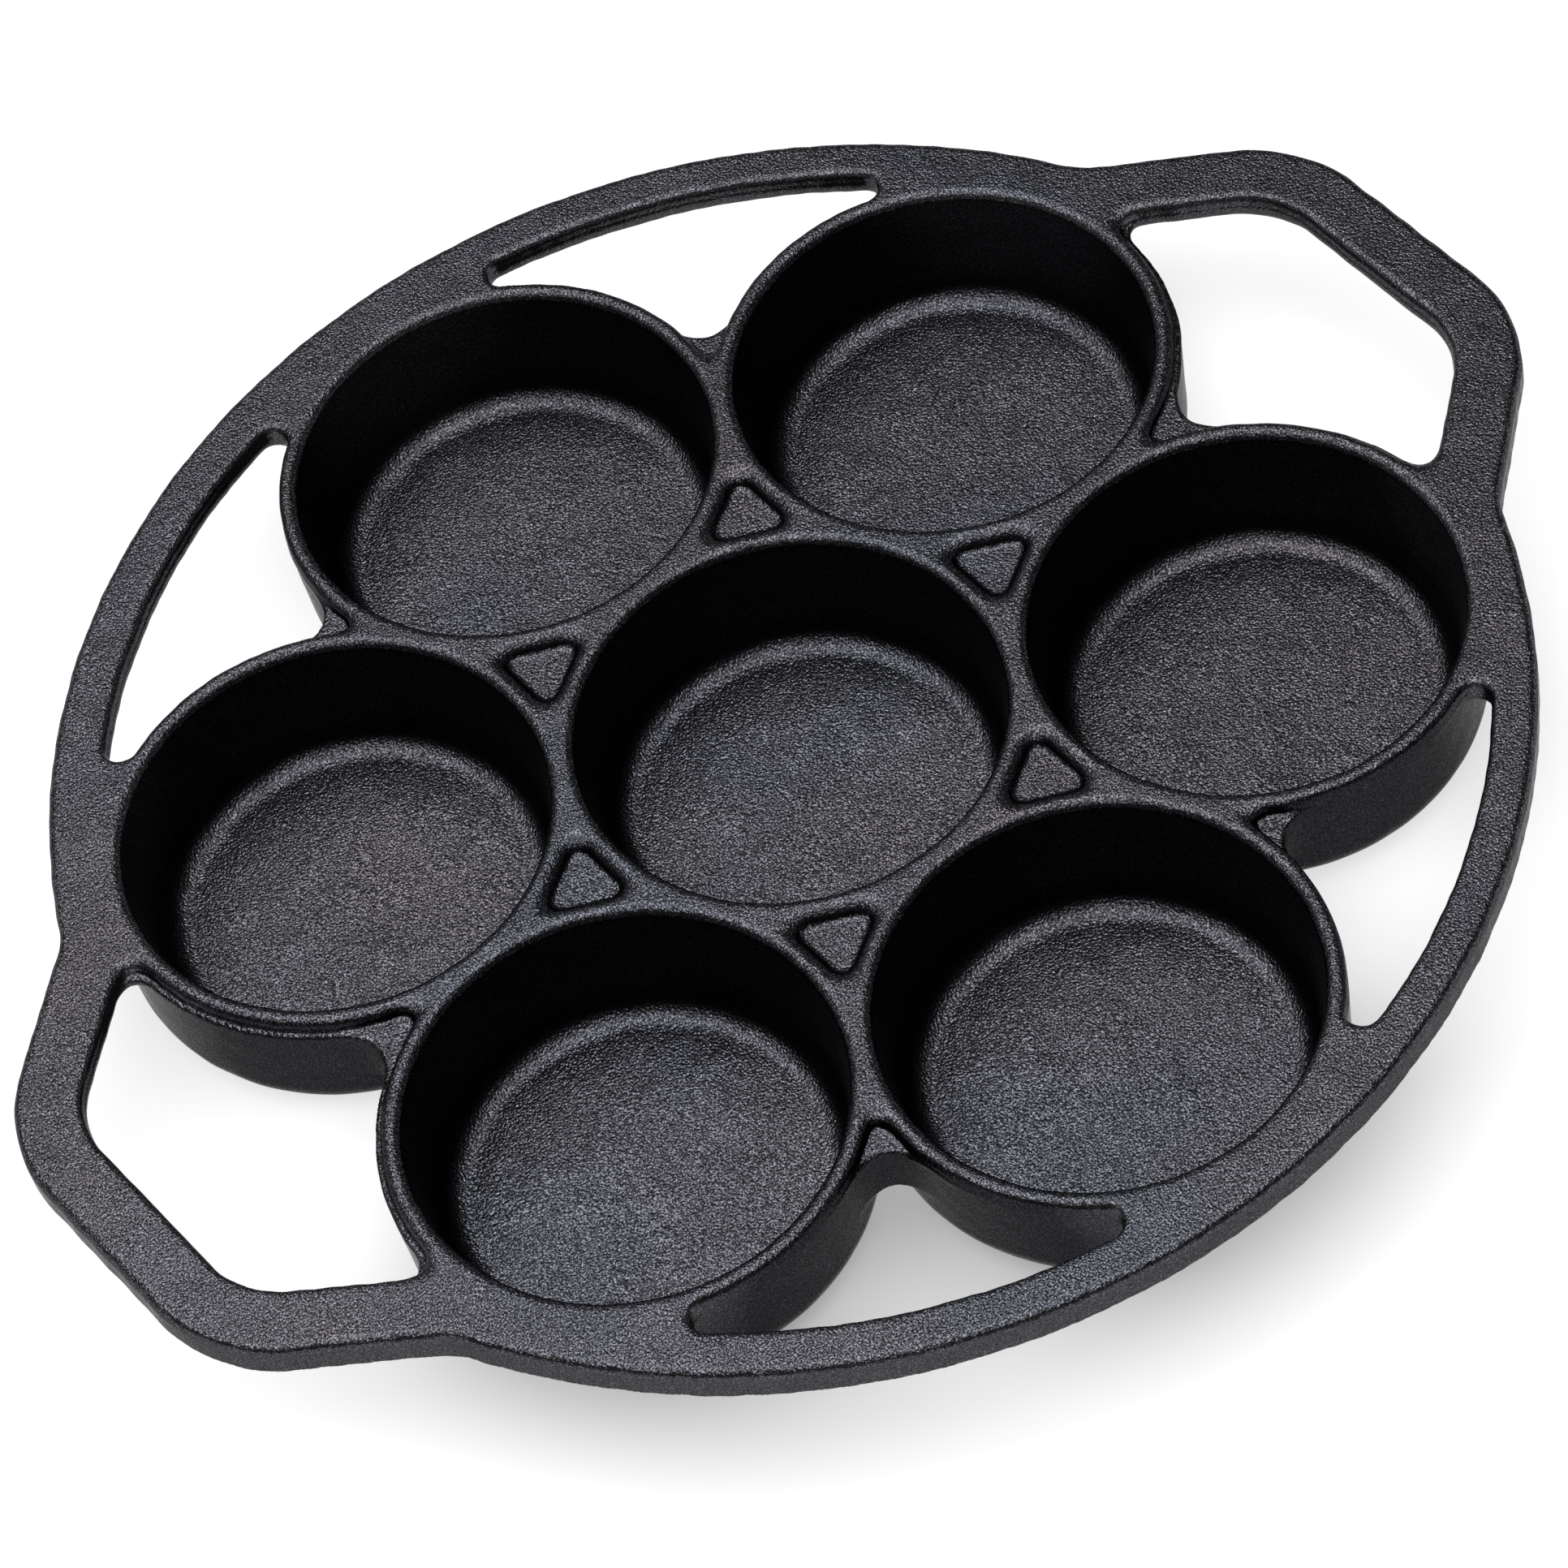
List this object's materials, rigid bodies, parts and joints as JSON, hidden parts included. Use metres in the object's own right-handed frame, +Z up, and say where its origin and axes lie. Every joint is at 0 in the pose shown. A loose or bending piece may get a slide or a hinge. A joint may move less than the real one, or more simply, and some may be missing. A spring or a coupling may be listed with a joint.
{
  "type": "muffin pan",
  "caption": "Round cast iron muffin pan: flat-floored cups packed inside a flat rim, open windows between cups and rim, and an angular loop handle at either end.",
  "frame": {"origin": "on the surface that the pan stands on, under the centre of the middle cup", "axes": "+X from the middle cup towards the right handle, +Z up out of the cups' mouths"},
  "size_m": [0.311, 0.27, 0.0291],
  "materials": {
    "cast_iron": "seasoned, as cast, finely pebbled, satin"
  },
  "bodies": {
    "root": {"middle_cup": "cast_iron", "outer_cup_1": "cast_iron", "outer_cup_2": "cast_iron", "outer_cup_3": "cast_iron", "outer_cup_4": "cast_iron", "outer_cup_5": "cast_iron", "outer_cup_6": "cast_iron", "pocket_web_1": "cast_iron", "pocket_web_2": "cast_iron", "pocket_web_3": "cast_iron", "pocket_web_4": "cast_iron", "pocket_web_5": "cast_iron", "pocket_web_6": "cast_iron", "outer_web_1": "cast_iron", "outer_web_2": "cast_iron", "outer_web_3": "cast_iron", "outer_web_4": "cast_iron", "outer_web_5": "cast_iron", "outer_web_6": "cast_iron", "rim_arc_1": "cast_iron", "rim_arc_2": "cast_iron", "rim_arc_3": "cast_iron", "rim_arc_4": "cast_iron", "right_handle": "cast_iron", "left_handle": "cast_iron"}
  },
  "joints": []
}
